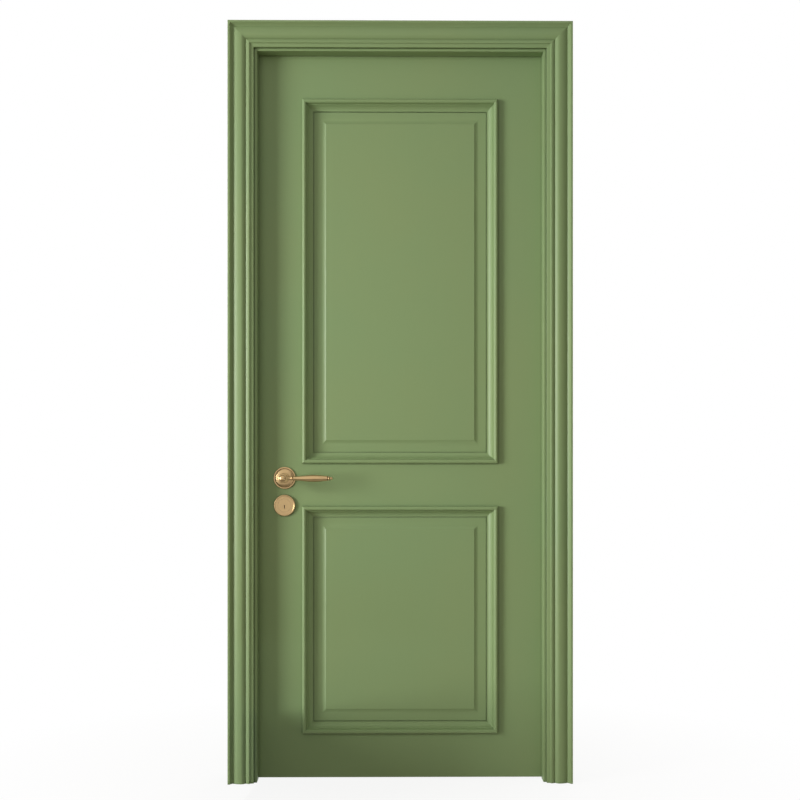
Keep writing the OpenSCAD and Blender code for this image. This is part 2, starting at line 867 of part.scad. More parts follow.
module upper_rear_moulding() {
    rear() moulding_frame(up_z0, up_z1);
}

module lower_rear_moulding() {
    rear() moulding_frame(low_z0, low_z1);
}

// Lock case: a shallow tray with the latch's guide, closed by a cover
module case_outline() {
    translate([case_x, case_z0]) square([case_end - case_x, case_z1 - case_z0]);
}

module place_rose_bolts() {
    for (s = [-1, 1]) translate([lever_x + s * rose_bolt_x, 0, lever_z]) rotate([90, 0, 0]) children();
}

module case_bores() {
    rod_y(lever_x, lever_z, bush_r + turn_gap, -leaf_t, leaf_t);
    place_rose_bolts() cylinder(h = 2 * leaf_t, r = 2 + mortise_gap, center = true);
}

module lock_case() {
    color(steel) difference() {
        union() {
            difference() {
                slab_y(-case_t / 2, case_in) case_outline();
                slab_y(-case_in, case_t) case_inside();
            }
            block([guide_x, -case_in - past / 2, latch_z - 9], [guide_x + guide_t, case_in, latch_z + 9]);
        }
        slab_x(case_x - past, case_x + case_wall + past) bolt_holes(slide_gap);
        block([guide_x - past, -tail_t / 2 - slide_gap, latch_z - tail_h / 2 - slide_gap],
            [guide_x + guide_t + past, tail_t / 2 + slide_gap, latch_z + tail_h / 2 + slide_gap]);
        rod_y(lever_x, cyl_z, cylinder_r + inlet_gap, -leaf_t, 0);
        case_bores();
    }
}

module case_inside() {
    translate([case_x + case_wall, case_z0 + case_wall])
        square([case_end - case_x - 2 * case_wall, case_z1 - case_z0 - 2 * case_wall]);
}

module lock_cover() {
    color(steel) difference() {
        slab_y(case_in, case_t / 2) case_outline();
        rod_y(lever_x, turn_z, turn_stem_r + turn_gap, 0, leaf_t);
        case_bores();
    }
}

module forend_outline(gap) {
    r = forend_w / 2;
    translate([-r - gap, forend_z0 + r]) square([forend_w + 2 * gap, forend_z1 - forend_z0 - forend_w]);
    for (z = [forend_z0 + r, forend_z1 - r]) translate([0, z]) circle(r + gap);
}

module place_forend_screws() {
    for (z = [forend_z0 + forend_tab / 2, forend_z1 - forend_tab / 2])
        translate([edge_x, 0, z]) rotate([0, 90, 0]) children();
}

module lock_forend() {
    color(brass) difference() {
        slab_x(edge_x, case_x) forend_outline(0);
        slab_x(edge_x - past, case_x + past) bolt_holes(slide_gap);
        place_forend_screws() screw(hinge_screw_l, inlet_gap, false);
    }
}

module forend_screws() {
    color(brass) place_forend_screws() screw(hinge_screw_l);
}

// Lever roses: domed covers over flat plates that two bolts draw together through the lock
module front_rosette() {
    r = rose_d / 2;
    ring = neck_r + 5;
    dome_r = r - 5;
    dome_h = 3.6;
    crown_h = 8.8;
    color(brass) turned(lever_x, lever_z) polygon(concat(
        [[r, 0]],
        arc([r - 1.6, 2.2], 1.6, 1.8, 0, 90, 4),
        [[dome_r + 1.2, 4], [dome_r + 0.6, 3], [dome_r, 3]],
        arc([ring - 6, dome_h], dome_r - ring + 6, crown_h - dome_h, 0, 70, 10),
        [[ring, crown_h]],
        arc([ring - 1.5, crown_h + 0.7], 1.5, 1.5, 0, 90, 4),
        [[neck_r + slide_gap, crown_h + 2.2], [neck_r + slide_gap, rose_plate_t + inlet_gap],
            [rose_plate_r + inlet_gap, rose_plate_t + inlet_gap], [rose_plate_r + inlet_gap, 0]]));
}

module rear_rosette() {
    rear() front_rosette();
}

module rose_plate() {
    difference() {
        rod_y(lever_x, lever_z, rose_plate_r, y_face - rose_plate_t, y_face);
        rod_y(lever_x, lever_z, neck_r + slide_gap, y_face - leaf_t, y_back);
        place_rose_bolts() bolt(inlet_gap, false);
    }
}

module rose_plates() {
    color(steel) {
        rose_plate();
        rear() rose_plate();
    }
}

// Countersunk bolt from plate to plate
module bolt(gap, slot) {
    half = leaf_t / 2 + rose_plate_t;
    difference() {
        union() {
            translate([0, 0, -half]) cylinder(h = 2 * half, r = 2 + gap);
            for (s = [0, 1]) mirror([0, 0, s]) translate([0, 0, half - 1.8])
                cylinder(h = 1.8 + gap, r1 = 2 + gap, r2 = 3.8 + gap);
        }
        if (slot) for (s = [-1, 1]) translate([-3, -0.5, s * half - 0.8]) cube([6, 1, 1.6]);
    }
}

module rose_bolts() {
    color(steel) place_rose_bolts() bolt(0, true);
}

// Cylinder: a collar on the face, the body in the lock and an eccentric plug with its keyway
function rim(r) = concat(
    [[r, 0]],
    arc([r - collar_rim / 2, collar_h - rim_round], collar_rim / 2, rim_round,
        0, 180 - asin((rim_round - collar_dip) / rim_round), 10));

module cylinder_collar() {
    color(brass) turned(lever_x, cyl_z) polygon(concat(
        rim(collar_d / 2),
        [[cylinder_face_r + slide_gap, collar_h - collar_dip],
            [cylinder_face_r + slide_gap, collar_h - collar_dip - cylinder_face_t],
            [cylinder_r + slide_gap, collar_h - collar_dip - cylinder_face_t], [cylinder_r + slide_gap, 0]]));
}

module cylinder_body() {
    front = y_face - collar_h + collar_dip;
    color(brass) difference() {
        union() {
            rod_y(lever_x, cyl_z, cylinder_face_r, front, front + cylinder_face_t);
            rod_y(lever_x, cyl_z, cylinder_r, front, cyl_end);
        }
        rod_y(lever_x, turn_z, plug_r + turn_gap, front - past, past);
    }
}

module key_plug() {
    front = y_face - collar_h + collar_dip;
    color(brass) difference() {
        union() {
            rod_y(lever_x, turn_z, plug_r, front, cyl_end);
            slab_y(cyl_end - past, cam_y + cam_t + 4)
                translate([lever_x - tang_s / 2, turn_z - tang_s / 2]) square(tang_s);
        }
        slab_y(front - past, front + 16) translate([lever_x, turn_z]) {
            translate([0, plug_r * 0.4]) circle(plug_r * 0.24);
            translate([-0.9, -plug_r * 0.72]) square([1.8, plug_r * 1.12]);
            translate([-0.9, -plug_r * 0.2]) square([1.7, plug_r * 0.22]);
        }
    }
}

// Cam on the plug's tang, its nose turned 45 degrees towards the hinges when the bolt is drawn
module turn_cam() {
    color(steel) difference() {
        slab_y(cam_y, cam_y + cam_t) translate([lever_x, turn_z]) rotate(-45) {
            circle(cam_hub_r);
            translate([-cam_stem_w / 2, 0]) square([cam_stem_w, cam_r]);
            translate([0, cam_r]) circle(cam_nose_r);
        }
        tang_hole(cam_y - past, cam_y + cam_t + past);
    }
}

module tang_hole(y0, y1) {
    s = tang_s + 2 * inlet_gap;
    slab_y(y0, y1) translate([lever_x - s / 2, turn_z - s / 2]) square(s);
}

module turn_rose() {
    color(brass) difference() {
        rear() turned(lever_x, turn_z) polygon(concat(
            rim(collar_d / 2),
            [[turn_stem_r + slide_gap, collar_h - collar_dip], [turn_stem_r + slide_gap, 0]]));
        place_turn_screws() screw(turn_screw_l, inlet_gap, false);
    }
}

module place_turn_screws() {
    for (s = [-1, 1]) translate([lever_x + s * turn_screw_x, y_back + collar_h - collar_dip, turn_z])
        rotate([90, 0, 0]) children();
}

module turn_rose_screws() {
    color(brass) place_turn_screws() screw(turn_screw_l);
}

module thumbturn() {
    base = y_back + collar_h - collar_dip;
    wing_y = base + 1.5 + turn_wing_r;
    edge = turn_wing_t * 0.35;
    color(brass) difference() {
        union() {
            rod_y(lever_x, turn_z, turn_stem_r, cam_y + cam_t + inlet_gap, wing_y);
            translate([lever_x, base, turn_z]) rotate([-90, 0, 0]) rotate_extrude() polygon(concat(
                [[0, 0.4]], arc([turn_stem_r + 2, 1.6], 1.2, 1.2, 270, 450, 8), [[0, 5]]));
            translate([lever_x, wing_y, turn_z]) rotate([0, 90, 0]) rotate_extrude() polygon(concat(
                [[0, -turn_wing_t / 2]],
                arc([turn_wing_r - edge, -turn_wing_t / 2 + edge], edge, edge, 270, 360, 4),
                arc([turn_wing_r - edge, turn_wing_t / 2 - edge], edge, edge, 0, 90, 4),
                [[0, turn_wing_t / 2]]));
        }
        tang_hole(cam_y, cam_y + cam_t + 4 + inlet_gap);
    }
}

// Deadbolt: a square head and a plate tail with a lug that the cam's nose drives
module deadbolt() {
    tip_x = edge_x + 0.3;
    slot_x = lever_x + cam_r * sin(45);
    color(steel) difference() {
        union() {
            block([tip_x, -bolt_t / 2, bolt_z - deadbolt_h / 2], [bolt_end, bolt_t / 2, bolt_z + deadbolt_h / 2]);
            block([bolt_end - past, cam_y, bolt_z - deadbolt_h / 4], [slot_x + cam_lug_half, cam_y + cam_t, bolt_z + deadbolt_h / 4]);
            block([slot_x - cam_lug_half, cam_y, cam_lug_z], [slot_x + cam_lug_half, cam_y + cam_t, bolt_z]);
        }
        slab_y(cam_y - past, cam_y + cam_t + past)
            translate([slot_x - cam_slot_half, cam_lug_z - past])
                square([2 * cam_slot_half, turn_z + cam_r + cam_nose_r + mortise_gap - cam_lug_z + past]);
    }
}

// Latch: a bevelled head, a tail through the guide and a lug that the follower's arm draws back
module latch_bolt() {
    tip_x = edge_x - latch_throw;
    color(brass) difference() {
        union() {
            block([tip_x, -bolt_t / 2, latch_z - latch_h / 2], [bolt_end, bolt_t / 2, latch_z + latch_h / 2]);
            block([bolt_end - past, -tail_t / 2, latch_z - tail_h / 2], [lug_x + lug_w, tail_t / 2, latch_z + tail_h / 2]);
            block([lug_x, -tail_t / 2, lug_z], [lug_x + lug_w, tail_t / 2, latch_z]);
        }
        translate([0, 0, latch_z - latch_h]) linear_extrude(2 * latch_h)
            polygon([[tip_x - past, -bolt_t], [edge_x - 1.5, -bolt_t], [edge_x - 1.5, -bolt_t / 2],
                [tip_x, bolt_t / 2 - 2], [tip_x - past, bolt_t / 2 - 2]]);
    }
}

// Spring between the latch's head and the guide
module latch_spring() {
    wire = 0.5;
    coil = 5.1;
    turns = 7;
    per = 12;
    sides = 6;
    l = guide_x - bolt_end - 2 * wire - 0.2;
    n = turns * per;
    pts = [for (i = [0:n]) for (k = [0:sides - 1])
        let (a = 360 * i / per, b = 360 * k / sides, r = coil + wire * cos(b))
        [bolt_end + wire + 0.1 + l * i / n + wire * sin(b), r * cos(a), latch_z + r * sin(a)]];
    walls = [for (i = [0:n - 1]) for (k = [0:sides - 1])
        let (k2 = (k + 1) % sides)
        [i * sides + k, i * sides + k2, (i + 1) * sides + k2, (i + 1) * sides + k]];
    color(steel) polyhedron(pts, concat(walls,
        [[for (k = [sides - 1:-1:0]) k], [for (k = [0:sides - 1]) n * sides + k]]));
}

// Handle: two turned levers on a square spindle, and the follower that draws the latch
module lever_hub() {
    waist_h = lever_out - hub_half - 22;
    low = lever_out - hub_half;
    high = lever_out + hub_half;
    polygon(concat(
        [[0, 0.5], [neck_r, 0.5]],
        swell([neck_r, 14], [neck_r - 0.8, waist_h], 6),
        swell([neck_r - 0.8, waist_h + 4], [neck_r + 2, low - 3], 8),
        arc([hub_r - 2, low + 2], 2, 2, 270, 360, 4),
        arc([hub_r - 2.5, high - 2.5], 2.5, 2.5, 0, 90, 5),
        [[cap_r + 0.8, high], [cap_r + 0.8, high - 0.8], [cap_r, high - 0.8]],
        arc([0, high], cap_r, cap_h, 5, 90, 8)));
}

module lever_arm() {
    bead_half = 2.3;
    foot = grip_root_r - 1.2;
    polygon(concat(
        [[0, 0], [arm_root_r, 0]],
        arc([arm_root_r, bead_x - bead_half - 1], arm_root_r - stem_r, bead_x - bead_half - hub_r, 270, 180, 7),
        [for (a = [15:15:165]) [stem_r + 1.7 * sin(a), bead_x - bead_half * cos(a)]],
        [[foot, bead_x + bead_half], [foot, grip_x - 0.6]],
        swell([grip_root_r, grip_x], [grip_r, swell_x], 16),
        swell([grip_r - 0.01, swell_x + 0.4], [grip_end_r, grip_end_x], 10),
        [[end_ring_r - 2.2, grip_end_x + 1.2]],
        [for (a = [0:20:180]) [end_ring_r - 1.6 + 1.6 * sin(a), grip_end_x + 3.6 - 1.9 * cos(a)]],
        [[tip_r - 1.2, grip_end_x + 6.2]],
        arc([0, lever_l - tip_r], tip_r, tip_r, -42, 90, 12)));
}

module front_lever() {
    s = spindle_s + 2 * inlet_gap;
    color(brass) difference() {
        union() {
            turned(lever_x, lever_z) lever_hub();
            translate([lever_x, y_face - lever_out, lever_z]) rotate([0, 90, 0]) rotate_extrude() lever_arm();
        }
        slab_y(y_face - spindle_reach - inlet_gap, y_face)
            translate([lever_x - s / 2, lever_z - s / 2]) square(s);
        grub_place() cylinder(h = neck_r, r = 2 + inlet_gap);
    }
}

module rear_lever() {
    rear() front_lever();
}

// Grub screw up into the neck of a lever, its end against the spindle
module grub_place() {
    translate([lever_x, y_face - 16, lever_z - spindle_s / 2]) rotate([180, 0, 0]) children();
}

module grub_screw() {
    grub_place() difference() {
        cylinder(h = neck_r - spindle_s / 2 - 0.6, r = 2);
        translate([0, 0, neck_r - spindle_s / 2 - 2]) cylinder(h = 2, r = 1, $fn = 6);
    }
}

module lever_grub_screws() {
    color(steel) {
        grub_screw();
        rear() grub_screw();
    }
}

module spindle() {
    half = leaf_t / 2 + spindle_reach;
    color(steel) slab_y(-half, half)
        translate([lever_x - spindle_s / 2, lever_z - spindle_s / 2]) square(spindle_s);
}

module latch_follower() {
    s = spindle_s + 2 * inlet_gap;
    inside = case_in - slide_gap;
    color(steel) difference() {
        union() {
            rod_y(lever_x, lever_z, bush_r, -case_t / 2, case_t / 2);
            rod_y(lever_x, lever_z, hub_turn_r, -inside, inside);
            block([lever_x - arm_w / 2, -tail_t / 2, lever_z], [lever_x + arm_w / 2, tail_t / 2, lever_z + arm_l]);
        }
        slab_y(-case_t, case_t) translate([lever_x - s / 2, lever_z - s / 2]) square(s);
    }
}

lock_jamb();
hinge_jamb();
head_jamb();
front_casing_left();
front_casing_right();
front_casing_head();
rear_casing_left();
rear_casing_right();
rear_casing_head();
seal_left();
seal_right();
seal_head();
strike_plate();
strike_box();
strike_screws();
upper_hinge_frame_leaf();
middle_hinge_frame_leaf();
lower_hinge_frame_leaf();
upper_hinge_pin();
middle_hinge_pin();
lower_hinge_pin();
frame_hinge_screws();
lock_stile();
hinge_stile();
top_rail();
lock_rail();
bottom_rail();
upper_panel();
lower_panel();
upper_front_moulding();
lower_front_moulding();
upper_rear_moulding();
lower_rear_moulding();
upper_hinge_door_leaf();
middle_hinge_door_leaf();
lower_hinge_door_leaf();
door_hinge_screws();
lock_case();
lock_cover();
lock_forend();
forend_screws();
front_rosette();
rear_rosette();
rose_plates();
rose_bolts();
cylinder_collar();
cylinder_body();
turn_rose();
turn_rose_screws();
front_lever();
rear_lever();
spindle();
latch_follower();
lever_grub_screws();
latch_bolt();
latch_spring();
key_plug();
turn_cam();
thumbturn();
deadbolt();
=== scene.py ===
import json
import math

import bmesh
import bpy
from mathutils import Matrix, Vector

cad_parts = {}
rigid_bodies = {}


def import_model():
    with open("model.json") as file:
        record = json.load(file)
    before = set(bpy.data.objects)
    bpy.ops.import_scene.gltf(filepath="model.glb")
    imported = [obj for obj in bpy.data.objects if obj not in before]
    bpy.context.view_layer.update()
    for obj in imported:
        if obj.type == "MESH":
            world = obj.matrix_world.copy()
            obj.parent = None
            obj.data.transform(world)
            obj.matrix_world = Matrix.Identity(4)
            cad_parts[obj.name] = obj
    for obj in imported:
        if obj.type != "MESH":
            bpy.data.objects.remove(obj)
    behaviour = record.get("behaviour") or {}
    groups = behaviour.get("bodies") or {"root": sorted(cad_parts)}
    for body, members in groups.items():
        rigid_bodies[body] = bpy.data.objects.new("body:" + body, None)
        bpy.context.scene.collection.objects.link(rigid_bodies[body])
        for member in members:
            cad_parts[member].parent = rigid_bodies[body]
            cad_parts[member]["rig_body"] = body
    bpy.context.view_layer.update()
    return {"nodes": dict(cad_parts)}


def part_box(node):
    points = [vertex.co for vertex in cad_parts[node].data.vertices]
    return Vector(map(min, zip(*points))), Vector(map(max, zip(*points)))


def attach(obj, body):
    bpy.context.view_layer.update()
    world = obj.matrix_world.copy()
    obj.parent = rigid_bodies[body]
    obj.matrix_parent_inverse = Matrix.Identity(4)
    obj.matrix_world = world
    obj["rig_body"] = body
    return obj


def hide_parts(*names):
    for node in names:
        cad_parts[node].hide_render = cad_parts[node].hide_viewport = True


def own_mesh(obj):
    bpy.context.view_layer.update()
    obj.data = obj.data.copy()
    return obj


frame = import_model()
MM = 0.001
WHITE = (1.0, 1.0, 1.0, 1.0)


# Shader nodes

def rgb(red, green, blue):
    """A linear colour from the 0 to 255 values that a paint card gives."""
    def linear(v):
        v /= 255
        return v / 12.92 if v <= 0.04045 else ((v + 0.055) / 1.055) ** 2.4
    return (linear(red), linear(green), linear(blue), 1.0)


class Amount:
    """A number that changes over a surface. Arithmetic on it adds Math nodes."""

    def __init__(self, finish, socket):
        self.finish, self.socket = finish, socket

    def math(self, operation, a, b):
        return self.finish.value("ShaderNodeMath", {"operation": operation}, {0: a, 1: b})

    def __add__(self, other):
        return self.math("ADD", self, other)

    def __radd__(self, other):
        return self.math("ADD", other, self)

    def __sub__(self, other):
        return self.math("SUBTRACT", self, other)

    def __rsub__(self, other):
        return self.math("SUBTRACT", other, self)

    def __mul__(self, other):
        return self.math("MULTIPLY", self, other)

    def __rmul__(self, other):
        return self.math("MULTIPLY", other, self)

    def at_least(self, other):
        return self.math("MAXIMUM", self, other)

    def between(self, low, high):
        """0 below low, 1 above high, and even between."""
        return self.finish.value("ShaderNodeMapRange", {"clamp": True},
                                 {"Value": self, "From Min": low, "From Max": high})


class Finish:
    """The nodes of a material, or of the world."""

    def __init__(self, owner, output="ShaderNodeOutputMaterial"):
        owner.use_nodes = True
        self.owner, self.tree = owner, owner.node_tree
        self.tree.nodes.clear()
        self.out = self.add(output)

    def add(self, kind, settings=None, inputs=None):
        node = self.tree.nodes.new(kind)
        for key, value in (settings or {}).items():
            setattr(node, key, value)
        for key, value in (inputs or {}).items():
            socket = value.socket if isinstance(value, Amount) else value
            if isinstance(socket, bpy.types.NodeSocket):
                self.tree.links.new(socket, node.inputs[key])
            else:
                node.inputs[key].default_value = socket
        return node

    def value(self, kind, settings=None, inputs=None, output=0):
        return Amount(self, self.add(kind, settings, inputs).outputs[output])

    def place(self, stretch=(1, 1, 1)):
        """Coordinates on the piece in metres, drawn out along an axis whose stretch is under 1."""
        at = self.add("ShaderNodeTexCoord").outputs["Object"]
        return self.add("ShaderNodeMapping", None, {"Vector": at, "Scale": stretch}).outputs[0]

    def noise(self, at, scale, detail=2.0, rough=0.5):
        return self.value("ShaderNodeTexNoise", None,
                          {"Vector": at, "Scale": scale, "Detail": detail, "Roughness": rough})

    def openness(self, reach, own_piece_only):
        """Near 0 deep in a corner, and 1 where nothing stands within reach."""
        return self.value("ShaderNodeAmbientOcclusion", {"only_local": own_piece_only, "samples": 8},
                          {"Distance": reach}, "AO")

    def mix(self, amount, a, b, blend="MIX"):
        node = self.add("ShaderNodeMix", {"data_type": "RGBA", "blend_type": blend}, {0: amount, 6: a, 7: b})
        return node.outputs[2]

    def shaded(self, colour, shade):
        """A colour times a shade, which is 1 where the colour stays."""
        level = self.add("ShaderNodeCombineColor", None, {0: shade, 1: shade, 2: shade}).outputs[0]
        return self.mix(1.0, colour, level, "MULTIPLY")

    def bump(self, height, strength, distance):
        return self.add("ShaderNodeBump", None,
                        {"Height": height, "Strength": strength, "Distance": distance}).outputs[0]

    def seen(self):
        """1 for rays that show a thing straight, mirrored or through glass, and 0 for bounced light."""
        rays = self.add("ShaderNodeLightPath").outputs
        straight = Amount(self, rays["Is Camera Ray"])
        return straight.at_least(rays["Is Glossy Ray"]).at_least(rays["Is Transmission Ray"])

    def either(self, amount, a, b):
        """The first shader where the amount is 0, and the second where it is 1."""
        return self.add("ShaderNodeMixShader", None, {0: amount, 1: a.outputs[0], 2: b.outputs[0]})

    def show(self, shader):
        self.tree.links.new(shader.outputs[0], self.out.inputs[0])
        return self.owner

    def surface(self, inputs):
        return self.show(self.add("ShaderNodeBsdfPrincipled", None, inputs))


def new_finish(name):
    return Finish(bpy.data.materials.new(name))


# Finishes

def green_paint(name, stretch):
    """Sprayed satin paint: a fine orange peel, the wood's grain faint under it, and painted shade in the
    quirks.
    """
    f = new_finish(name)
    plain, along = f.place(), f.place(stretch)
    cloud = f.noise(plain, scale=2.2, detail=3.0)
    peel = f.noise(plain, scale=620.0, rough=0.6)
    ripple = f.noise(plain, scale=95.0, detail=1.0)
    grain = f.noise(along, scale=230.0, detail=3.0, rough=0.6)
    cool, warm = rgb(118, 141, 97), rgb(121, 141, 96)
    # Painted shade: the colour darkens where other surfaces stand within 6 mm, in quirks and corners.
    clear_of_patina_and_painted_shade = f.openness(6 * MM, own_piece_only=False).between(0.4, 0.9)
    # The painted shade is multiplied by a faint tone from the grain and the peel.
    shade = (0.75 + 0.25 * clear_of_patina_and_painted_shade) * (0.98 + 0.02 * grain + 0.02 * peel)
    return f.surface({
        "Base Color": f.shaded(f.mix(cloud.between(0.35, 0.65), cool, warm), shade),
        "Roughness": 0.38 + 0.08 * peel + 0.04 * cloud,
        "Normal": f.bump(peel * 0.5 + ripple * 0.1 + grain * 0.15, strength=0.25, distance=0.12 * MM),
        "Specular IOR Level": 0.32,
    })


def worn_brass(name):
    """Satin brass, rubbed bright on its crowns, its hollows brown with patina and painted shade."""
    f = new_finish(name)
    cloud = f.noise(f.place(), scale=70.0, detail=3.0)
    rubbed = f.noise(f.place((1, 1, 6)), scale=900.0, rough=0.7)
    # Patina and painted shade: the brass turns brown where other faces of the piece stand within 4 mm.
    crown = f.openness(4 * MM, own_piece_only=True).between(0.45, 0.95)
    clear_of_patina_and_painted_shade = (crown + (cloud - 0.5) * 0.4).between(0.0, 1.0)
    patina_and_shade_brown, bright = rgb(98, 70, 42), rgb(196, 166, 120)
    return f.surface({
        "Base Color": f.shaded(f.mix(clear_of_patina_and_painted_shade, patina_and_shade_brown, bright), 0.94 + 0.10 * rubbed),
        "Metallic": 1.0,
        "Roughness": 0.36 - 0.08 * clear_of_patina_and_painted_shade + 0.06 * rubbed + 0.06 * cloud,
        "Normal": f.bump(rubbed * 0.6 + cloud * 0.4, strength=0.12, distance=0.08 * MM),
    })


def plain_steel(name):
    """Zinc-plated steel with rolling marks."""
    f = new_finish(name)
    cloud = f.noise(f.place(), scale=60.0, detail=3.0)
    rolled = f.noise(f.place((1, 1, 14)), scale=700.0, rough=0.6)
    dull, bright = rgb(150, 150, 147), rgb(186, 187, 186)
    return f.surface({
        "Base Color": f.mix(cloud.between(0.35, 0.65), dull, bright),
        "Metallic": 1.0,
        "Roughness": 0.28 + 0.16 * rolled + 0.08 * cloud,
        "Normal": f.bump(rolled, strength=0.15, distance=0.06 * MM),
    })


def soft_rubber(name):
    """Extruded seal rubber, dull with a bloom."""
    f = new_finish(name)
    bloom = f.noise(f.place(), scale=140.0, detail=3.0)
    grit = f.noise(f.place(), scale=1500.0, detail=1.0)
    dark, bloomed = rgb(38, 40, 35), rgb(58, 61, 52)
    return f.surface({
        "Base Color": f.mix(bloom.between(0.3, 0.7), dark, bloomed),
        "Roughness": 0.72 + 0.15 * bloom,
        "Normal": f.bump(grit, strength=0.2, distance=0.08 * MM),
    })


def moulded_plastic(name):
    """Dark moulded plastic with a sparked texture."""
    f = new_finish(name)
    spark = f.noise(f.place(), scale=1300.0, rough=0.6)
    cloud = f.noise(f.place(), scale=40.0)
    dark, greyed = rgb(34, 34, 35), rgb(46, 46, 47)
    return f.surface({
        "Base Color": f.mix(cloud, dark, greyed),
        "Roughness": 0.45 + 0.2 * spark,
        "Normal": f.bump(spark, strength=0.25, distance=0.1 * MM),
    })


GRAIN_STRETCH = 0.03
upright_paint = green_paint("green_paint_upright", (1, 1, GRAIN_STRETCH))
level_paint = green_paint("green_paint_level", (GRAIN_STRETCH, 1, 1))
brass = worn_brass("worn_brass")
steel = plain_steel("plain_steel")
rubber = soft_rubber("soft_rubber")
plastic = moulded_plastic("moulded_plastic")


# Pieces: each follows its solid, and finer forms are worked into a copy of it.

MERGE = 0.002 * MM
NEAR = 0.01 * MM
FLAT_ANGLE = math.radians(0.2)
CREASE = math.radians(30)
FIELD_CREASE = math.radians(12)


def joined(node):
    """A copy of a node with its loose triangles merged and its flat faces whole."""
    bm = bmesh.new()
    bm.from_mesh(frame["nodes"][node].data)
    bmesh.ops.remove_doubles(bm, verts=bm.verts, dist=MERGE)
    bmesh.ops.dissolve_limit(bm, angle_limit=FLAT_ANGLE, verts=bm.verts, edges=bm.edges)
    return bm


def placed(name, bm):
    """A new object from a bmesh, at the origin."""
    mesh = bpy.data.meshes.new(name)
    bm.to_mesh(mesh)
    bm.free()
    thing = bpy.data.objects.new(name, mesh)
    bpy.context.scene.collection.objects.link(thing)
    return thing


def finished(name, bm, material, body, node, crease=CREASE):
    """Makes the piece that stands for a node, shaded smooth over edges flatter than the crease."""
    for face in bm.faces:
        face.smooth = True
        face.material_index = 0
    for edge in bm.edges:
        edge.smooth = edge.is_manifold and edge.calc_face_angle(0) < crease
    piece = placed(name, bm)
    mesh = piece.data
    if "custom_normal" in mesh.attributes:
        mesh.attributes.remove(mesh.attributes["custom_normal"])
    mesh.materials.clear()
    mesh.materials.append(material)
    piece.modifiers.new("even_shading", "WEIGHTED_NORMAL").keep_sharp = True
    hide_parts(node)
    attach(piece, body)
    return piece


# Painted joinery

LEVEL = ("head_jamb", "front_casing_head", "rear_casing_head", "top_rail", "lock_rail", "bottom_rail")
UPRIGHT = ("lock_jamb", "hinge_jamb", "front_casing_left", "front_casing_right", "rear_casing_left",
           "rear_casing_right", "lock_stile", "hinge_stile", "upper_panel", "lower_panel",
           "upper_front_moulding", "lower_front_moulding", "upper_rear_moulding", "lower_rear_moulding")

# The rounding of the leaf's arrises, and the edges that count as arrises
ARRIS = 1.2 * MM
ARRIS_ANGLE = math.radians(50)
ARRIS_LENGTH = 50 * MM

# Lines along a casing, in millimetres in from its outer edge: on the solid, and on the piece. The outer
# flat and the inner band come out wider, and the hollow and the bead narrower. What lies nearer the wall
# than the back stays, and so does the height of what is below the mitres.
CASING_LINES = ((0, 0), (1.3, 1.3), (1.99, 5.5), (15, 14), (36, 36),
                (58.2, 58.2), (65.01, 60.6), (68.5, 68.5), (70, 70))
CASING_BACK = 4 * MM
BELOW_MITRES = 1.0

# Lines along a panel moulding, in millimetres in from its outer edge, and how far each is sunk, or raised
# where that is less than 0. The quirk beside the bead gets deeper, with a small fillet after it.
MOULDING_LINES = ((13.6, 0.3), (14.83, -1.4), (16.07, -1.0), (17.3, -0.5))
LINE_SLACK = 0.02 * MM
MOULDING_WIDTH = Vector((30 * MM, 0, 30 * MM))

# Grooves that read as a dark line, round a panel on both faces and on the jambs beside the front casings
FRONT, REAR = -1, 1
GROOVE_DEPTH, PANEL_GROOVE, JAMB_GROOVE = 2 * MM, 2 * MM, 1.5 * MM
CUT_SLACK = 0.001 * MM
SQUARE_ON = 0.99
BELOW_FLOOR = -1.0
REVEAL = (Vector((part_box("front_casing_left")[1].x, 0, BELOW_FLOOR)),
          Vector((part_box("front_casing_right")[0].x, 0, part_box("front_casing_head")[0].z)))


def ease_leaf(bm):
    """Rounds the long sharp edges of the leaf's sides and top, where hands wear the paint over."""
    low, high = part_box("lock_stile")[0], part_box("hinge_stile")[1]

    def on_rim(edge):
        at = (edge.verts[0].co + edge.verts[1].co) / 2
        on_face = min(abs(at.y - low.y), abs(at.y - high.y)) < NEAR
        return on_face and min(abs(at.x - low.x), abs(at.x - high.x), abs(at.z - high.z)) < NEAR
    sharp = [e for e in bm.edges if e.is_manifold and e.calc_length() > ARRIS_LENGTH
             and e.calc_face_angle(0) > ARRIS_ANGLE and on_rim(e)]
    bmesh.ops.bevel(bm, geom=sharp, offset=ARRIS, affect="EDGES", segments=3, profile=0.5, material=-1)


def crisp_casing(bm, node):
    """Moves the lines of a casing's moulding inside the same outline, along its mitres too."""
    low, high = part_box(node)
    side = node.split("_")[-1]
    wall = high.y if node.startswith("front") else low.y
    for v in [v for v in bm.verts if abs(v.co.y - wall) > CASING_BACK]:
        outer = {"left": v.co.x - low.x, "right": high.x - v.co.x, "head": high.z - v.co.z}[side] / MM
        for (a, a_to), (b, b_to) in zip(CASING_LINES, CASING_LINES[1:]):
            if a <= outer < b:
                inwards = (a_to + (outer - a) * (b_to - a_to) / (b - a) - outer) * MM
                across = inwards if side == "left" or side == "head" and v.co.x < 0 else -inwards
                up = -inwards if v.co.z > BELOW_MITRES else 0
                bmesh.ops.translate(bm, verts=[v], vec=(across, 0, up))
                break


def crisp_moulding(bm, node):
    """Sinks or raises the lines of a panel moulding."""
    low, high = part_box(node)
    deeper = 1 if "front" in node else -1
    for line, sunk in MOULDING_LINES:
        ring = [v for v in bm.verts
                if abs(min(*(v.co - low).xz, *(high - v.co).xz) - line * MM) < LINE_SLACK]
        bmesh.ops.translate(bm, verts=ring, vec=(0, deeper * sunk * MM, 0))


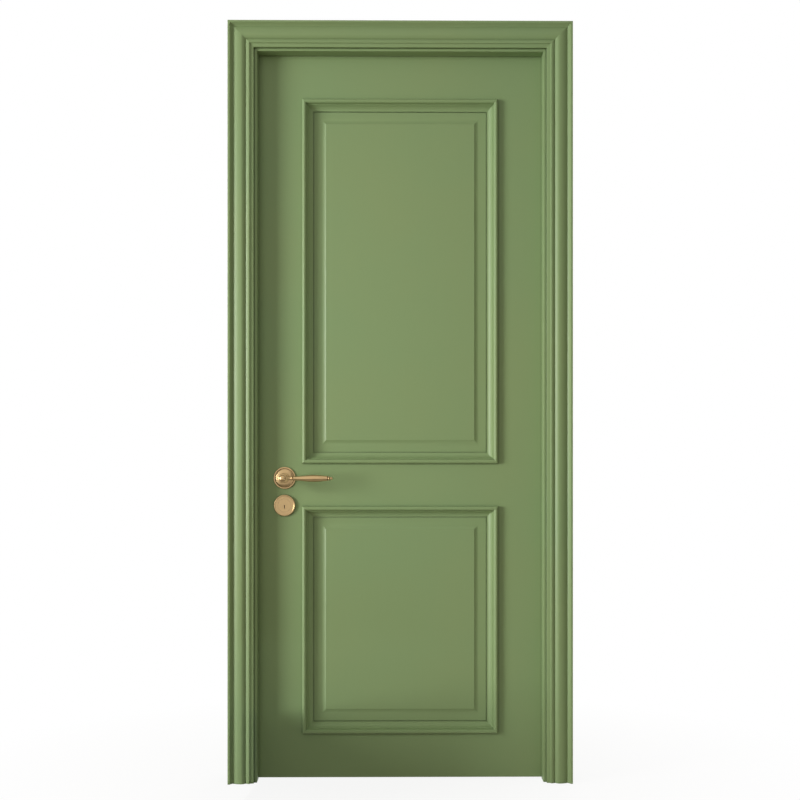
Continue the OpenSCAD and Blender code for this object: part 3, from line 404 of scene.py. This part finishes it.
def groove(bm, outer, width, sides):
    """Cuts a narrow groove into the given faces of a piece, along the inside of a rectangle."""
    low, high = outer
    inner = (low + Vector((width, 0, width)), high - Vector((width, 0, width)))
    for axis in (Vector((1, 0, 0)), Vector((0, 0, 1))):
        for corner in (low, high, *inner):
            bmesh.ops.bisect_plane(bm, geom=bm.verts[:] + bm.edges[:] + bm.faces[:], dist=CUT_SLACK,
                                   plane_co=corner, plane_no=axis)

    def within(face, box):
        at = face.calc_center_median()
        return box[0].x < at.x < box[1].x and box[0].z < at.z < box[1].z
    for side in sides:
        strip = [f for f in bm.faces
                 if f.normal.y * side > SQUARE_ON and within(f, outer) and not within(f, inner)]
        made = bmesh.ops.extrude_face_region(bm, geom=strip)["geom"]
        bmesh.ops.delete(bm, geom=strip, context="FACES")
        bmesh.ops.translate(bm, verts=[v for v in made if isinstance(v, bmesh.types.BMVert)],
                            vec=(0, -side * GROOVE_DEPTH, 0))


for node in LEVEL + UPRIGHT:
    bm = joined(node)
    crease = CREASE
    if node.endswith(("stile", "rail")):
        ease_leaf(bm)
    if "casing" in node:
        crisp_casing(bm, node)
    if "jamb" in node:
        groove(bm, REVEAL, JAMB_GROOVE, [FRONT])
    if "moulding" in node:
        crisp_moulding(bm, node)
    if "panel" in node:
        low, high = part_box(node.replace("panel", "front_moulding"))
        groove(bm, (low + MOULDING_WIDTH, high - MOULDING_WIDTH), PANEL_GROOVE, [FRONT, REAR])
        crease = FIELD_CREASE
    finished("painted_" + node, bm, level_paint if node in LEVEL else upright_paint,
             frame["nodes"][node]["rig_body"], node, crease)


# The levers' grips are turned a little fuller towards their roots.

# Across the door, where a grip starts and where it is fullest
GRIP_ROOT, GRIP_SWELL = -291 * MM, -230 * MM
# A grip's axis, out from the middle of the leaf and up from the floor
LEVER_OUT, LEVER_UP = 80 * MM, 832 * MM
# The share that is added to its radius at the root, and the digits to which a ring's place is the same
FULLER = 0.27
RING_DIGITS = 4

for node in ("front_lever", "rear_lever"):
    bm = joined(node)
    to_axis = Matrix.Translation((0, LEVER_OUT if node == "front_lever" else -LEVER_OUT, -LEVER_UP))
    rings = {}
    for v in bm.verts:
        if GRIP_ROOT <= v.co.x < GRIP_SWELL:
            rings.setdefault(round(v.co.x, RING_DIGITS), []).append(v)
    for at, ring in rings.items():
        wider = 1 + FULLER * (GRIP_SWELL - at) / (GRIP_SWELL - GRIP_ROOT)
        bmesh.ops.scale(bm, vec=(1, wider, wider), space=to_axis, verts=ring)
    finished("turned_" + node, bm, brass, "handle", node)


# The latch's spring is a steel piece with a mesh of its own.

low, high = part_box("latch_spring")
spring = finished("coiled_latch_spring", joined("latch_spring"), steel, "leaf", "latch_spring")
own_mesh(spring)


# Metal, rubber and plastic keep their solids and take their finish.

by_slot = {"satin_brass": brass, "lock_steel": steel, "seal_rubber": rubber, "dark_plastic": plastic}
for solid in frame["nodes"].values():
    slot_name = solid.data.materials[0].name.split(".")[0] if solid.data.materials else ""
    if slot_name in by_slot:
        solid.data.materials[0] = by_slot[slot_name]


# Stage, light and camera

FLOOR_REACH, FLOOR_DROP = 30.0, 0.5 * MM
FLOOR_BOUNCE = (0.60, 0.515, 0.41, 1)
# The floor's shadow: its tone and strength, its oval, and the metres over which it fades
SHADED_FLOOR = (0.9, 0.9, 0.9, 1)
SHADOW_SHARE = 0.12
SHADOW_OVAL = (0.8, 1.0, 0.0)
FADE_FROM, FADE_TO = 0.2, 1.1
ROOM_LIGHT = (1, 0.90, 0.78, 1)
ROOM_STRENGTH = 0.39


def studio_floor():
    """A white floor that keeps a faint shadow near the door, and bounces a warm light."""
    bm = bmesh.new()
    bmesh.ops.create_grid(bm, x_segments=1, y_segments=1, size=FLOOR_REACH)
    ground = placed("studio_floor", bm)
    ground.location.z = -FLOOR_DROP
    f = new_finish("pale_floor")
    white = f.add("ShaderNodeEmission", None, {"Color": WHITE, "Strength": 1.0})
    lit = f.add("ShaderNodeBsdfDiffuse", None, {"Color": SHADED_FLOOR})
    pale = f.add("ShaderNodeBsdfDiffuse", None, {"Color": FLOOR_BOUNCE})
    apart = f.value("ShaderNodeVectorMath", {"operation": "LENGTH"}, {0: f.place(SHADOW_OVAL)}, "Value")
    near = 1 - apart.between(FADE_FROM, FADE_TO)
    shown = f.either(near * SHADOW_SHARE, white, lit)
    ground.data.materials.append(f.show(f.either(f.seen(), pale, shown)))


def studio_world():
    """Soft light from all round, which shows as plain white."""
    f = Finish(bpy.data.worlds.new("studio"), "ShaderNodeOutputWorld")
    soft = f.add("ShaderNodeBackground", None, {"Color": ROOM_LIGHT, "Strength": ROOM_STRENGTH})
    white = f.add("ShaderNodeBackground", None, {"Color": WHITE, "Strength": 1.0})
    bpy.context.scene.world = f.show(f.either(f.seen(), soft, white))


def dark_card(name, corners, tone, mirrored):
    """A card out of shot, which either shades part of the door or is only mirrored in it."""
    bm = bmesh.new()
    bm.faces.new([bm.verts.new(at) for at in corners])
    card = placed(name, bm)
    card.visible_camera = False
    card.visible_glossy = mirrored
    card.visible_diffuse = not mirrored
    card.visible_shadow = not mirrored
    f = new_finish(name)
    dull = f.add("ShaderNodeBsdfDiffuse", None, {"Color": (tone, tone, tone, 1)})
    card.data.materials.append(f.show(dull))


def soft_box(name, place, aim, width, height, power, spread=180, mirrored=True):
    """A rectangular lamp, with its spread in degrees, which may be kept out of reflections."""
    lamp = bpy.data.lights.new(name, "AREA")
    lamp.shape = "RECTANGLE"
    lamp.size, lamp.size_y, lamp.energy = width, height, power
    lamp.spread = math.radians(spread)
    holder = bpy.data.objects.new(name, lamp)
    holder.location = place
    holder.rotation_euler = (Vector(aim) - Vector(place)).to_track_quat("-Z", "Y").to_euler()
    holder.visible_glossy = mirrored
    bpy.context.scene.collection.objects.link(holder)


studio_floor()
studio_world()
dark_card("card_at_foot", tone=0.25, mirrored=False,
          corners=[(-0.3905, -0.061, 0), (-0.444, -0.45, 0), (-0.444, -0.45, 0.29), (-0.3905, -0.061, 0.19)])
dark_card("card_at_right", tone=0.15, mirrored=True,
          corners=[(1.3, -3.4, 0), (2.6, -1.9, 0), (2.6, -1.9, 2.8), (1.3, -3.4, 2.8)])
dark_card("card_below_handle", tone=0.3, mirrored=True,
          corners=[(-0.9, -1.2, 0.35), (0.1, -1.2, 0.35), (0.1, -0.2, 0.35), (-0.9, -0.2, 0.35)])
soft_box("key_from_left", place=(-4.4, -2.35, 1.35), aim=(0, 0, 1.12), width=1.7, height=2.4,
         power=39, spread=60)
soft_box("fill_in_front", place=(-1.1, -3.3, 2.2), aim=(0, 0, 0.8), width=1.8, height=1.2,
         power=20, mirrored=False)
soft_box("rim_from_right", place=(4.2, -0.4, 1.2), aim=(0.3, 0, 1.1), width=1.2, height=2.0,
         power=9, spread=100, mirrored=False)
soft_box("fill_behind", place=(1.4, 3.6, 1.4), aim=(0, 0, 1.0), width=2.4, height=2.2, power=75)

eye = bpy.data.cameras.new("eye")
eye.lens, eye.sensor_width = 50.0, 36.0
eye.shift_x, eye.shift_y = 0.0078, 0.0690
camera = bpy.data.objects.new("eye", eye)
camera.location = (-0.043, -3.0996, 0.895)
level_look, slight_turn = math.radians(90), math.radians(-0.47)
camera.rotation_euler = (level_look, 0, slight_turn)
bpy.context.scene.collection.objects.link(camera)
bpy.context.scene.camera = camera
bpy.context.scene.view_settings.view_transform = "Standard"
